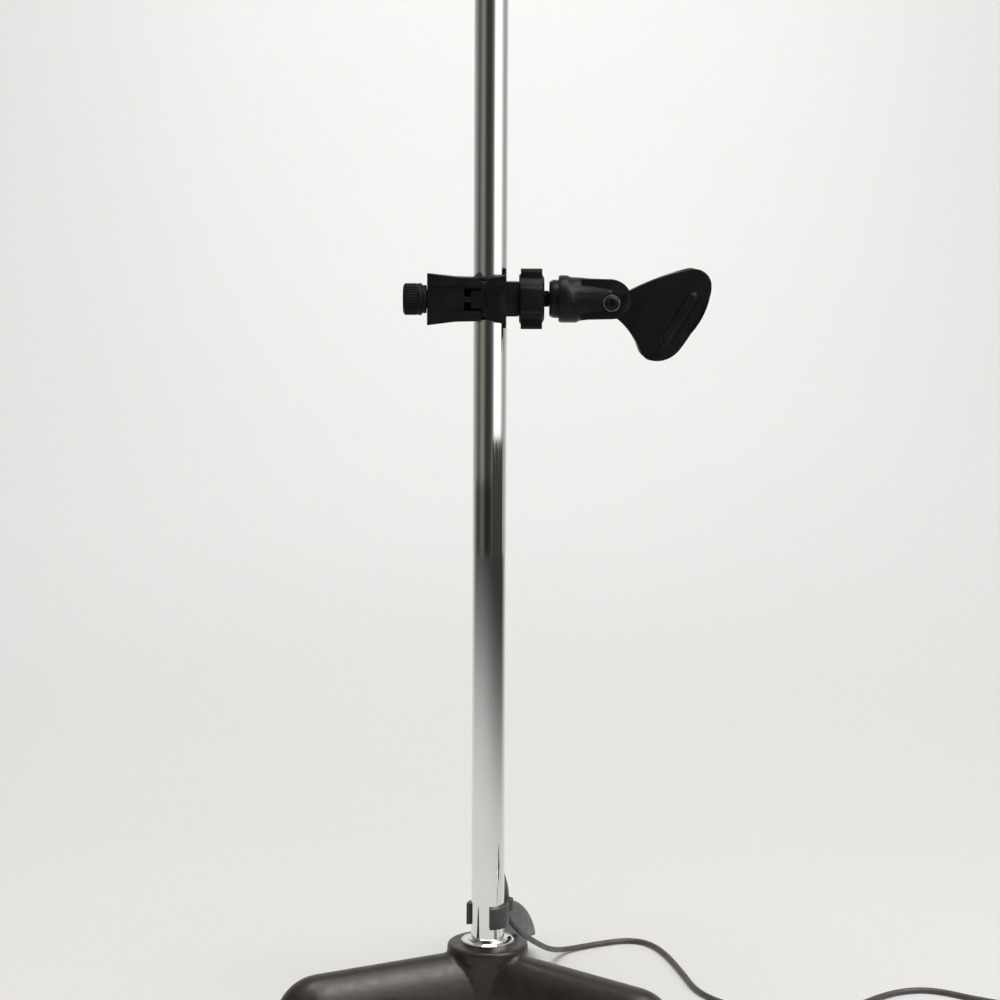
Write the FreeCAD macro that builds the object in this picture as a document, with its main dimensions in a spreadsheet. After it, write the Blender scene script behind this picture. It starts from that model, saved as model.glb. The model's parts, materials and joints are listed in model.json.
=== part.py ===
import FreeCAD, Part

import math
import os
from types import SimpleNamespace

import Sketcher

# Microphone stand: a telescoping tube on a cast tripod base, with a cable clip near the floor and a screw clamp
# that carries a tilting microphone clip. The origin is on the floor, on the tube's axis. +Z is up, +X is the way
# the side arm points, and the open front of the stand faces -Y. All sizes are in millimetres and degrees.

Vector = FreeCAD.Vector
doc = FreeCAD.newDocument("microphone_stand")

DIMENSIONS = {
    # tubes
    "tube_radius": 11.1,
    "tube_bore": 9.6,
    "tube_foot": 14.0,
    "tube_top": 720.0,
    "mast_radius": 7.94,
    "mast_bore": 6.7,
    "mast_foot": 150.0,
    "mast_top": 850.0,
    "running_gap": 0.06,
    "push_fit": 0.02,
    "loose_fit": 0.05,
    # base
    "hub_radius": 27.2,
    "hub_waist": 26.0,
    "rim_height": 50.0,
    "hub_floor_gap": 2.5,
    "rim_band": 9.0,
    "rim_rounding": 1.6,
    "casting_gap": 11.0,
    "leg_half_width": 21.0,
    "leg_crown": 32.0,
    "leg_shoulder": 14.5,
    "leg_fall": 2.0,
    "leg_start": 13.0,
    "leg_straight": 120.0,
    "leg_end": 30.0,
    "tip_step": 0.1,
    "leg_core_width": 12.5,
    "leg_core_height": 25.0,
    "leg_core_start": 34.0,
    "leg_core_end": 114.0,
    "arch_radius": 136.0,
    "arch_middle": 80.0,
    "arch_top": 24.0,
    "first_leg_angle": 83.5,
    "foot_radius": 9.0,
    "foot_reach": 132.0,
    "foot_recess": 3.0,
    "counterbore_radius": 15.0,
    "flange_radius": 17.7,
    "flange_height": 3.4,
    # cable clip
    "clip_floor": 62.0,
    "clip_height": 14.0,
    "clip_wall": 3.2,
    "hook_angle": 45.0,
    "hook_reach": 17.6,
    "hook_hole": 2.5,
    "hook_radius": 4.8,
    # cable
    "cable_radius": 2.0,
    "grommet_angle": 80.0,
    "grommet_height": 126.0,
    "grommet_slope": 60.0,
    "coil_x": 352.0,
    "coil_y": -62.0,
    "coil_mean": 24.0,
    "coil_half": 8.25,
    # side clamp
    "clamp_height": 482.5,
    "seat_radius": 13.3,
    "sleeve_radius": 13.0,
    "sleeve_half": 11.3,
    "screw_offset": 19.0,
    "screw_radius": 3.0,
    "jaw_front": 27.0,
    "jaw_back": 17.0,
    "saddle_left": 40.7,
    "saddle_right": 6.2,
    "hook_left": 2.0,
    "hook_right": 10.1,
    "boss_radius": 11.2,
    "boss_end": 27.0,
    "knob_radius": 10.4,
    "knob_face": 44.1,
    "knob_length": 12.3,
    "knob_flange": 9.2,
    "nut_start": 19.0,
    "nut_length": 16.5,
    "nut_radius": 16.4,
    "lobe_radius": 19.8,
    # arm and microphone clip
    "stud_radius": 4.76,
    "stud_neck": 5.3,
    "stud_end": 57.0,
    "arm_collar_start": 38.9,
    "barrel_start": 45.0,
    "barrel_radius": 14.2,
    "ear_radius": 12.9,
    "ear_half_depth": 10.6,
    "pivot_x": 79.5,
    "pivot_drop": 2.4,
    "pivot_bolt_radius": 2.5,
    "fork_half_gap": 6.3,
    "neck_half": 6.0,
    "clip_tilt": 27.6,
    "cup_reach": 42.5,
    "cup_bore": 14.5,
    "cup_half_width": 18.3,
    "cup_mouth": 56.4,
}


class Size:
    """A length with its value and the sheet expression that drives it."""

    def __init__(self, value, text):
        self.value = float(value)
        self.text = text

    def joined(self, other, sign, value):
        return Size(value, f"({self.text} {sign} {size(other).text})")

    def __add__(self, other):
        return self.joined(other, "+", self.value + size(other).value)

    def __sub__(self, other):
        return self.joined(other, "-", self.value - size(other).value)

    def __mul__(self, other):
        return self.joined(other, "*", self.value * size(other).value)

    def __truediv__(self, other):
        return self.joined(other, "/", self.value / size(other).value)

    def __radd__(self, other):
        return size(other) + self

    def __rsub__(self, other):
        return size(other) - self

    def __rmul__(self, other):
        return size(other) * self

    def __neg__(self):
        return Size(-self.value, f"(0 - {self.text})")


def size(number):
    return number if isinstance(number, Size) else Size(number, f"{float(number):.6g}")


def make_sheet():
    sheet = doc.addObject("Spreadsheet::Sheet", "Dims")
    for row, (alias, number) in enumerate(DIMENSIONS.items(), start=1):
        sheet.set(f"A{row}", alias.replace("_", " "))
        sheet.set(f"B{row}", f"{number:g}")
        sheet.setAlias(f"B{row}", alias)
    doc.recompute()
    return SimpleNamespace(**{name: Size(number, f"Dims.{name}") for name, number in DIMENSIONS.items()})


dims = make_sheet()
NODES = []


# ---------------------------------------------------------------- helpers


def drive(feature, **sizes):
    """Sets properties and binds each to its expression."""
    for name, number in sizes.items():
        number = size(number)
        setattr(feature, name, number.value)
        feature.setExpression(name, number.text)
    return feature


def place(feature, x=0.0, y=0.0, z=0.0, turn=None):
    """Puts a feature at x, y, z, turned by (axis, degrees), with the position bound to the sheet."""
    rotation = FreeCAD.Rotation(Vector(*turn[0]), turn[1]) if turn else FreeCAD.Rotation()
    feature.Placement = FreeCAD.Placement(Vector(size(x).value, size(y).value, size(z).value), rotation)
    for letter, number in (("x", x), ("y", y), ("z", z)):
        if isinstance(number, Size):
            feature.setExpression(f"Placement.Base.{letter}", number.text)
    return feature


ALONG_X = ((0, 1, 0), 90)


def new_body(label):
    body = doc.addObject("PartDesign::Body", label)
    body.Label = label
    NODES.append(body)
    return body


def new_sketch(body, plane="XY_Plane", offset=0.0):
    sketch = body.newObject("Sketcher::SketchObject", f"{body.Name}_sketch")
    support = next(f for f in body.Origin.OriginFeatures if f.Role == plane)
    sketch.AttachmentSupport = (support, [""])
    sketch.MapMode = "FlatFace"
    sketch.AttachmentOffset = FreeCAD.Placement(Vector(0, 0, size(offset).value), FreeCAD.Rotation())
    if isinstance(offset, Size):
        sketch.setExpression("AttachmentOffset.Base.z", offset.text)
    return sketch


def pin_point(sketch, item, end, x, y):
    """Fixes one point of a sketch at x, y from its origin."""
    for kind, number, axis in (("DistanceX", x, -2), ("DistanceY", y, -1)):
        number = size(number)
        if abs(number.value) < 1e-9:
            sketch.addConstraint(Sketcher.Constraint("PointOnObject", item, end, axis))
        else:
            constraint = sketch.addConstraint(Sketcher.Constraint(kind, -1, 1, item, end, number.value))
            sketch.setExpression(f"Constraints[{constraint}]", number.text)


def arc_between(start, end, radius):
    """The minor arc from start to end: centre on the left for a positive radius, on the right for a negative."""
    chord = end - start
    half = chord.Length / 2
    left = Vector(-chord.y, chord.x, 0).normalize()
    side = 1 if radius > 0 else -1
    centre = (start + end) * 0.5 + left * side * math.sqrt(max(radius * radius - half * half, 0.0))
    first, last = (start, end) if side > 0 else (end, start)
    angles = [math.atan2(p.y - centre.y, p.x - centre.x) for p in (first, last)]
    if angles[1] < angles[0]:
        angles[1] += 2 * math.pi
    return Part.ArcOfCircle(Part.Circle(centre, Vector(0, 0, 1), abs(radius)), *angles)


def outline(sketch, corners):
    """A closed outline through corners (x, y) or (x, y, radius of the arc to the next corner)."""
    points = [Vector(size(c[0]).value, size(c[1]).value, 0) for c in corners]
    first = sketch.GeometryCount
    ends = []
    for i, corner in enumerate(corners):
        start, end = points[i], points[(i + 1) % len(points)]
        radius = size(corner[2]) if len(corner) > 2 else None
        if radius is None:
            sketch.addGeometry(Part.LineSegment(start, end))
            ends.append((1, 2))
        else:
            sketch.addGeometry(arc_between(start, end, radius.value))
            ends.append((1, 2) if radius.value > 0 else (2, 1))
    for i in range(len(corners)):
        after = (i + 1) % len(corners)
        sketch.addConstraint(
            Sketcher.Constraint("Coincident", first + i, ends[i][1], first + after, ends[after][0])
        )
    for i, corner in enumerate(corners):
        pin_point(sketch, first + i, ends[i][0], corner[0], corner[1])
        if len(corner) > 2:
            radius = size(corner[2])
            bound = radius if radius.value > 0 else -radius
            constraint = sketch.addConstraint(Sketcher.Constraint("Radius", first + i, bound.value))
            sketch.setExpression(f"Constraints[{constraint}]", bound.text)
    return sketch


def circle(sketch, radius, x=0.0, y=0.0):
    radius = size(radius)
    centre = Vector(size(x).value, size(y).value, 0)
    item = sketch.addGeometry(Part.Circle(centre, Vector(0, 0, 1), radius.value))
    pin_point(sketch, item, 3, x, y)
    constraint = sketch.addConstraint(Sketcher.Constraint("Radius", item, radius.value))
    sketch.setExpression(f"Constraints[{constraint}]", radius.text)
    return sketch


def turning(body, corners, cut=False):
    """Turns a closed profile of (radius, height) corners about the body's own Z axis."""
    sketch = outline(new_sketch(body, "XZ_Plane"), corners)
    feature = body.newObject("PartDesign::Groove" if cut else "PartDesign::Revolution", f"{body.Name}_turning")
    feature.Profile = sketch
    feature.ReferenceAxis = (sketch, ["V_Axis"])
    feature.Angle = 360
    return settle(body, feature, cut)


def extrusion(body, sketch, length, cut=False, both_ways=False, backwards=False):
    """Pads a sketch, or pockets it, and makes sure that a pocket has taken material away."""
    feature = body.newObject("PartDesign::Pocket" if cut else "PartDesign::Pad", f"{body.Name}_extrusion")
    feature.Profile = sketch
    drive(feature, Length=length)
    if both_ways:
        feature.SideType = "Symmetric"
    feature.Reversed = backwards
    return settle(body, feature, cut)


def settle(body, feature, cut):
    doc.recompute()
    if cut and feature.Shape.Volume > feature.BaseFeature.Shape.Volume - 1e-3:
        raise SystemExit(f"{feature.Name} of {body.Label} cuts nothing")
    return feature


def edges_where(shape, test):
    return [f"Edge{i}" for i, edge in enumerate(shape.Edges, start=1) if test(edge)]


def is_circle_at(height, radius):
    """Edges that are whole circles of a radius round the Z axis at a height."""
    length = 2 * math.pi * size(radius).value
    level = size(height).value

    def test(edge):
        box = edge.BoundBox
        flat = abs(box.ZMin - level) < 0.05 and abs(box.ZMax - level) < 0.05
        return flat and abs(edge.Length - length) < 0.01

    return test


def ring(corner_in, corner_out, low, high):
    """A square-edged ring's profile."""
    return [(corner_in, low), (corner_out, low), (corner_out, high), (corner_in, high)]


def round_about(feature, count, angle=360.0):
    """Repeats a feature of a body round its own Z axis and makes the pattern the body's tip."""
    body = feature.getParentGeoFeatureGroup()
    pattern = body.newObject("PartDesign::PolarPattern", f"{body.Name}_pattern")
    axis = next(f for f in body.Origin.OriginFeatures if f.Role == "Z_Axis")
    pattern.Originals = [feature]
    pattern.Axis = (axis, [""])
    pattern.Angle = angle
    pattern.Occurrences = count
    body.Tip = pattern
    doc.recompute()
    return pattern


def primitive(kind, name, **sizes):
    feature = doc.addObject(f"Part::{kind}", name)
    return drive(feature, **sizes)


def joined(name, *shapes):
    feature = doc.addObject("Part::MultiFuse", name)
    feature.Shapes = list(shapes)
    return feature


def joined_in_turn(name, first, *others):
    """A union made two shapes at a time."""
    whole = first
    for i, other in enumerate(others):
        union = doc.addObject("Part::Fuse", f"{name}{i}")
        union.Base = whole
        union.Tool = other
        whole = union
    return whole


def without(name, base, tool):
    feature = doc.addObject("Part::Cut", name)
    feature.Base = base
    feature.Tool = tool
    return feature


def node(feature, label):
    feature.Label = label
    NODES.append(feature)
    return feature


def compound(name, shapes):
    feature = doc.addObject("Part::Compound", name)
    feature.Links = list(shapes)
    return feature


def on_circle(radius, degrees):
    """A point on a circle round the origin, as two sizes."""
    angle = math.radians(degrees)
    return radius * round(math.cos(angle), 6), radius * round(math.sin(angle), 6)


def hexagon(across_flats):
    """The corners of a hexagon, counter-clockwise."""
    reach = size(across_flats) / round(math.sqrt(3), 6)
    return [on_circle(reach, 60 * i) for i in range(6)]


# ---------------------------------------------------------------- base

LEG_ANGLES = [DIMENSIONS["first_leg_angle"] + 120 * i for i in range(3)]
UPRIGHT_ELLIPSE = ((0, 1, 0), -90)
TALL = 400.0


def spun(feature, degrees):
    """Turns a placed feature about the stand's axis."""
    turn = FreeCAD.Placement(Vector(), FreeCAD.Rotation(Vector(0, 0, 1), degrees))
    feature.Placement = turn.multiply(feature.Placement)
    return feature


def elliptic_bar(name, major, minor, start, length):
    """An ellipse that stands across the X axis, extruded along it."""
    ellipse = primitive("Ellipse", f"{name}_ellipse", MajorRadius=major, MinorRadius=minor)
    place(ellipse, start, turn=UPRIGHT_ELLIPSE)
    bar = doc.addObject("Part::Extrusion", name)
    bar.Base = ellipse
    bar.DirMode = "Custom"
    bar.Dir = Vector(1, 0, 0)
    bar.Solid = True
    return drive(bar, LengthFwd=length)


def leg(number):
    """One leg along +X: a domed bar that falls a little outwards, arched and hollow underneath."""
    name = f"leg{number}"
    crown = elliptic_bar(
        f"{name}_crown",
        dims.leg_crown,
        dims.leg_half_width,
        dims.leg_start,
        dims.leg_straight - dims.leg_start,
    )
    tip = primitive(
        "Ellipsoid",
        f"{name}_tip",
        Radius1=dims.leg_crown - dims.tip_step,
        Radius2=dims.leg_end,
        Radius3=dims.leg_half_width - dims.tip_step,
    )
    tip.Angle1, tip.Angle2, tip.Angle3 = -90, 90, 360
    place(tip, dims.leg_straight)
    bar = place(joined_in_turn(f"{name}_bar", crown, tip), z=dims.leg_shoulder, turn=((0, 1, 0), DIMENSIONS["leg_fall"]))
    room = place(
        primitive("Box", f"{name}_room", Length=TALL, Width=TALL, Height=dims.rim_height),
        0,
        -TALL / 2,
        dims.casting_gap,
    )
    standing = doc.addObject("Part::Common", f"{name}_standing")
    standing.Base = bar
    standing.Tool = room
    core = place(
        elliptic_bar(
            f"{name}_core",
            dims.leg_core_height,
            dims.leg_core_width,
            dims.leg_core_start,
            dims.leg_core_end - dims.leg_core_start,
        ),
        z=dims.casting_gap,
    )
    arch = primitive("Cylinder", f"{name}_arch", Radius=dims.arch_radius, Height=dims.leg_half_width * 4)
    place(
        arch,
        dims.arch_middle,
        dims.leg_half_width * 2,
        dims.arch_top - dims.arch_radius,
        ((1, 0, 0), 90),
    )
    return without(name, without(f"{name}_arched", standing, arch), core)


def base_casting():
    waist = place(
        primitive("Cylinder", "hub_wall", Radius=dims.hub_waist, Height=dims.rim_height - dims.hub_floor_gap),
        z=dims.hub_floor_gap,
    )
    rim = place(
        primitive("Cylinder", "hub_rim", Radius=dims.hub_radius, Height=dims.rim_band),
        z=dims.rim_height - dims.rim_band,
    )
    legs = [spun(leg(i), angle) for i, angle in enumerate(LEG_ANGLES)]
    solid = joined_in_turn("casting_solid", waist, rim, *legs)
    bore = place(primitive("Cylinder", "hub_bore", Radius=dims.tube_radius + dims.push_fit, Height=dims.rim_height))
    pocket_height = dims.tube_foot - dims.hub_floor_gap
    pocket = place(
        primitive("Cylinder", "hub_pocket", Radius=dims.counterbore_radius, Height=pocket_height), z=dims.hub_floor_gap
    )
    recesses = []
    for i, angle in enumerate(LEG_ANGLES):
        recess = primitive("Cylinder", f"foot_recess{i}", Radius=dims.foot_radius, Height=dims.foot_recess)
        recesses.append(place(recess, *on_circle(dims.foot_reach, angle), dims.casting_gap))
    tools = joined("casting_tools", bore, pocket, *recesses)
    cut = without("casting_cut", solid, tools)
    doc.recompute()
    rim_edges = edges_where(cut.Shape, is_circle_at(dims.rim_height, dims.hub_radius))
    rounding = DIMENSIONS["rim_rounding"]
    rounded = doc.addObject("Part::Fillet", "casting_rounded")
    rounded.Base = cut
    rounded.Edges = [(int(name.removeprefix("Edge")), rounding, rounding) for name in rim_edges]
    node(rounded, "base_casting")


def rubber_feet():
    feet = []
    for i, angle in enumerate(LEG_ANGLES):
        height = dims.casting_gap + dims.foot_recess
        pad = primitive("Cylinder", f"foot{i}", Radius=dims.foot_radius - dims.loose_fit, Height=height)
        feet.append(place(pad, *on_circle(dims.foot_reach, angle)))
    node(compound("feet", feet), "rubber_feet")


def base_flange():
    body = place(new_body("base_flange"), z=dims.rim_height)
    inner = dims.tube_radius + dims.push_fit
    top = dims.flange_height
    turning(
        body,
        [
            (inner, 0),
            (dims.flange_radius, 0),
            (dims.flange_radius, top - 1.5),
            (dims.flange_radius - 0.7, top - 0.9),
            (dims.flange_radius - 1.5, top - 1.4),
            (inner + 2.4, top - 1.1),
            (inner + 1.9, top),
            (inner, top),
        ],
    )


GROMMET_SLEEVE = 4.2
GROMMET_NOSE = 13.0


def lower_tube():
    body = new_body("lower_tube")
    turning(body, ring(dims.tube_bore, dims.tube_radius, dims.tube_foot, dims.tube_top))
    opening = body.newObject("PartDesign::SubtractiveCylinder", "cable_hole")
    drive(opening, Radius=GROMMET_SLEEVE + dims.push_fit, Height=dims.tube_radius)
    opening.Placement = grommet_frame(-dims.tube_radius.value / 2)
    doc.recompute()
    body.Tip = opening


def grommet_axis():
    """Where the cable leaves the column's wall, and the way it points: outwards and down."""
    turn = math.radians(DIMENSIONS["grommet_angle"])
    slope = math.radians(DIMENSIONS["grommet_slope"])
    radius = DIMENSIONS["tube_radius"]
    place_on_wall = Vector(radius * math.cos(turn), radius * math.sin(turn), DIMENSIONS["grommet_height"])
    way = Vector(math.cos(turn) * math.cos(slope), math.sin(turn) * math.cos(slope), -math.sin(slope))
    return place_on_wall, way


def grommet_frame(along=0.0):
    start, way = grommet_axis()
    return FreeCAD.Placement(start + way * along, FreeCAD.Rotation(Vector(0, 0, 1), way))


def cable_grommet():
    """A rubber sleeve through the wall with a collar outside it and a tapered nose."""
    body = new_body("cable_grommet")
    bore = dims.cable_radius
    turning(
        body,
        [
            (bore, -4.0),
            (GROMMET_SLEEVE, -4.0),
            (GROMMET_SLEEVE, 3.0),
            (GROMMET_SLEEVE + 1.3, 3.0),
            (GROMMET_SLEEVE + 1.3, 5.0),
            (GROMMET_SLEEVE - 0.4, 5.8),
            (bore + 0.9, GROMMET_NOSE),
            (bore, GROMMET_NOSE),
        ],
    )
    body.Placement = grommet_frame()


BOLT_RADIUS = 5.0
BOLT_HEAD = 6.4
WASHER_THICK = 2.5
BOLT_PLAY = 0.3
BOLT_FLATS = 17.0
BOLT_SHANK = 25.0
PLUG_HEIGHT = 30.0
PLUG_FLOOR = 24.0


def tube_bottom_plug():
    body = new_body("tube_bottom_plug")
    low = dims.tube_foot
    turning(
        body,
        [
            (BOLT_RADIUS + dims.push_fit, low),
            (dims.tube_bore - dims.loose_fit, low),
            (dims.tube_bore - dims.loose_fit, low + PLUG_HEIGHT),
            (0, low + PLUG_HEIGHT),
            (0, low + PLUG_FLOOR),
            (BOLT_RADIUS + dims.push_fit, low + PLUG_FLOOR),
        ],
    )


def base_washer():
    body = new_body("base_washer")
    top = dims.tube_foot
    turning(body, ring(BOLT_RADIUS + BOLT_PLAY, dims.counterbore_radius - 1, top - WASHER_THICK, top))


def base_bolt():
    body = new_body("base_bolt")
    seat = dims.tube_foot - WASHER_THICK
    extrusion(body, outline(new_sketch(body, "XY_Plane", seat - BOLT_HEAD), hexagon(BOLT_FLATS)), BOLT_HEAD)
    extrusion(body, circle(new_sketch(body, "XY_Plane", seat), BOLT_RADIUS), BOLT_SHANK)


# ---------------------------------------------------------------- telescoping mast


def clutch_body():
    """The ferrule on the column's top, with the neck that the grip screws on."""
    body = new_body("clutch_body")
    top = dims.tube_top
    outer = dims.tube_radius + dims.push_fit
    turning(
        body,
        [
            (outer, top - 20),
            (14.2, top - 20),
            (15.0, top - 19),
            (15.0, top - 5),
            (14.2, top - 4),
            (12.5, top - 4),
            (12.5, top + 18),
            (dims.tube_bore, top + 18),
            (dims.tube_bore, top + dims.push_fit),
            (outer, top + dims.push_fit),
        ],
    )


def clutch_grip():
    """The hand grip that squeezes the collet: a tapered sleeve with grooves round it."""
    body = new_body("clutch_grip")
    low = dims.tube_top - 3.5
    turning(
        body,
        [
            (12.9, low),
            (16.0, low),
            (17.0, low + 2),
            (17.0, low + 34),
            (14.6, low + 50),
            (12.4, low + 53),
            (dims.mast_radius + 0.6, low + 53),
            (dims.mast_radius + 0.6, low + 47),
            (12.9, low + 45),
        ],
    )
    groove = new_sketch(body, "XY_Plane", low + 4)
    circle(groove, 1.5, 17.6, 0)
    first = extrusion(body, groove, 28.0, cut=True, backwards=True)
    round_about(first, 16)


def clutch_collet():
    """The split plastic ring round the mast."""
    body = new_body("clutch_collet")
    low = dims.tube_top + 18.3
    bore = dims.mast_radius + dims.running_gap
    turning(body, [(bore, low), (12.2, low), (12.2, low + 12), (10.6, low + 20), (bore, low + 20)])
    slit = outline(new_sketch(body, "XY_Plane", low - 1), [(0, -0.6), (14, -0.6), (14, 0.6), (0, 0.6)])
    extrusion(body, slit, 23.0, cut=True, backwards=True)


def upper_tube():
    turning(new_body("upper_tube"), ring(dims.mast_bore, dims.mast_radius, dims.mast_foot, dims.mast_top))


def guide_bush():
    """The plastic plug that centres the mast's foot in the column."""
    low = dims.mast_foot
    wide = dims.tube_bore - dims.running_gap
    turning(
        new_body("guide_bush"),
        [
            (4.0, low - 5),
            (wide - 0.8, low - 5),
            (wide, low - 4),
            (wide, low),
            (dims.mast_bore - dims.push_fit, low),
            (dims.mast_bore - dims.push_fit, low + 16),
            (4.0, low + 16),
        ],
    )


STUD_SHOULDER = 3.0
STUD_LENGTH = 16.0


def top_stud():
    """The threaded end that a microphone clip screws on."""
    top = dims.mast_top
    turning(
        new_body("top_stud"),
        [
            (3.0, top - 18),
            (dims.mast_bore - dims.push_fit, top - 18),
            (dims.mast_bore - dims.push_fit, top),
            (9.6, top),
            (9.6, top + STUD_SHOULDER),
            (dims.mast_radius, top + STUD_SHOULDER),
            (dims.mast_radius, top + STUD_SHOULDER + STUD_LENGTH - 1),
            (dims.mast_radius - 1, top + STUD_SHOULDER + STUD_LENGTH),
            (3.0, top + STUD_SHOULDER + STUD_LENGTH),
        ],
    )


# ---------------------------------------------------------------- cable clip and cable


def cable_clip():
    """A sprung C round the column, with a small open hook beside it for the cable."""
    body = place(new_body("cable_clip"), z=dims.clip_floor)
    inner = dims.tube_radius + dims.push_fit
    outer = inner + dims.clip_wall
    turns = [-84, 0, 90, 183]
    corners = []
    for degrees in turns[:-1]:
        corners.append((*on_circle(outer, degrees), outer))
    corners.append(on_circle(outer, turns[-1]))
    for degrees in turns[:0:-1]:
        corners.append((*on_circle(inner, degrees), -inner))
    corners.append(on_circle(inner, turns[0]))
    extrusion(body, outline(new_sketch(body), corners), dims.clip_height)
    hook_low = 6.0
    hook_x, hook_y = on_circle(dims.hook_reach, DIMENSIONS["hook_angle"])
    lobe = circle(new_sketch(body, "XY_Plane", hook_low), dims.hook_radius, hook_x, hook_y)
    extrusion(body, lobe, dims.clip_height - hook_low)
    hole = circle(new_sketch(body, "XY_Plane", hook_low - 1), dims.hook_hole, hook_x, hook_y)
    extrusion(body, hole, dims.clip_height, cut=True, backwards=True)
    slot_corners = [
        (hook_x, hook_y - 0.7),
        (hook_x + 8, hook_y - 0.7),
        (hook_x + 8, hook_y + 0.7),
        (hook_x, hook_y + 0.7),
    ]
    slot = outline(new_sketch(body, "XY_Plane", hook_low - 1), slot_corners)
    extrusion(body, slot, dims.clip_height, cut=True, backwards=True)


# The cable's route, x, y, z from its strain relief to the coil, chosen by hand. Heights are of the centreline.
CABLE_ROUTE = [
    (3.75, 21.3, 107.8),
    (6.2, 21.9, 98.5),
    (9.8, 18.2, 90.2),
    (12.445, 12.445, 81.5),
    (12.445, 12.445, 63.5),
    (18.0, 22.0, 54.5),
    (24.0, 37.0, 43.5),
    (32.3, 60.0, 31.0),
    (42.5, 92.0, 15.5),
    (52.5, 127.0, 3.4),
    (67.0, 139.0, 2.0),
    (84.0, 148.5, 2.0),
    (100.0, 155.0, 2.0),
    (113.0, 153.0, 2.0),
    (122.0, 142.0, 2.0),
    (128.5, 124.0, 2.0),
    (134.0, 101.0, 2.0),
    (139.5, 72.0, 2.0),
    (143.5, 48.0, 2.0),
    (152.0, 29.0, 2.0),
    (166.0, 13.0, 2.0),
    (187.0, 0.0, 2.0),
    (211.0, -6.0, 2.0),
    (235.0, 1.0, 2.0),
    (252.0, 14.0, 2.0),
    (267.0, 30.0, 2.0),
    (284.0, 43.0, 2.0),
    (302.0, 48.0, 2.0),
    (318.0, 42.0, 2.0),
    (332.0, 31.0, 2.0),
    (348.0, 22.0, 2.0),
    (364.0, 11.0, 2.0),
    (374.0, -8.0, 2.0),
    (376.0, -27.0, 2.0),
    (375.8, -45.0, 2.0),
]

# From the coil's last turn to the plug's boot.
TAIL_ROUTE = [
    (351.0, -91.5, 2.0),
    (339.0, -93.5, 2.0),
    (328.0, -93.0, 4.2),
    (317.0, -92.0, 8.2),
    (306.0, -92.0, 9.5),
]
PLUG_Y = -92.0
PLUG_RADIUS = 9.5
BOOT_END = 306.0
BOOT_LENGTH = 24.0
SHELL_LENGTH = 46.0


def rounded_path(points):
    """Straight runs joined by tangent arcs. Each arc is as large as its two runs allow. Returns wire and radii."""
    corners = [Vector(*p) for p in points]
    edges = []
    radii = []
    at = corners[0]
    for before, corner, after in zip(corners, corners[1:], corners[2:]):
        into = corner - before
        out = after - corner
        shorter = min(into.Length, out.Length)
        turn = into.getAngle(out)
        reach = 0.45 * shorter
        radii.append(reach / math.tan(turn / 2))
        arc_start = corner - into.normalize() * reach
        arc_end = corner + out.normalize() * reach
        middle = (arc_start + arc_end) * 0.5
        towards = (corner - middle).normalize()
        sagitta = radii[-1] * (1 - math.cos(turn / 2))
        edges.append(Part.LineSegment(at, arc_start).toShape())
        edges.append(Part.Arc(arc_start, middle + towards * sagitta, arc_end).toShape())
        at = arc_end
    edges.append(Part.LineSegment(at, corners[-1]).toShape())
    return Part.Wire(edges), radii


def cable_tube(label, points):
    """A round tube along a route of runs and arcs."""
    radius = DIMENSIONS["cable_radius"]
    path, radii = rounded_path(points)
    start = Vector(*points[0])
    way = Vector(*points[1]) - start
    section = Part.Wire(Part.Circle(start, way, radius).toShape())
    shape = path.makePipeShell([section], True, False)
    expected = math.pi * radius * radius * path.Length
    print(f"{label}: length {path.Length:.1f}, radii {[round(r, 1) for r in radii]}")
    print(f"{label}: volume {shape.Volume:.1f} against section times length {expected:.1f}")
    feature = doc.addObject("Part::Feature", label)
    feature.Shape = shape
    return node(feature, label)


def lead_points():
    """The route, from inside the tip of the strain relief."""
    start, way = grommet_axis()
    return [tuple(start + way * (GROMMET_NOSE - 1)), *CABLE_ROUTE]


def coil_solid():
    body = place(new_body("cable_coil"), dims.coil_x, dims.coil_y, 0)
    near = dims.coil_mean - dims.coil_half
    far = dims.coil_mean + dims.coil_half
    high = dims.coil_half * 2
    turning(
        body,
        [
            (near + 1, 0),
            (far - 1, 0),
            (far, 1),
            (far, high - 1),
            (far - 1, high),
            (near + 1, high),
            (near, high - 1),
            (near, 1),
        ],
    )


def coil_tie():
    """The strap that holds the coil: down its outside, over the top and down its inside."""
    body = place(new_body("coil_tie"), dims.coil_x, dims.coil_y, 0)
    near = dims.coil_mean - dims.coil_half - 0.1
    far = dims.coil_mean + dims.coil_half + 0.1
    high = dims.coil_half * 2 + 0.1
    strap = 1.2
    corners = [
        (-far - strap, 0.3),
        (-far, 0.3),
        (-far, high),
        (-near, high),
        (-near, 0.3),
        (strap - near, 0.3),
        (strap - near, high + strap),
        (-far - strap, high + strap),
    ]
    extrusion(body, outline(new_sketch(body, "XZ_Plane"), corners), 11.0, both_ways=True)


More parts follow.
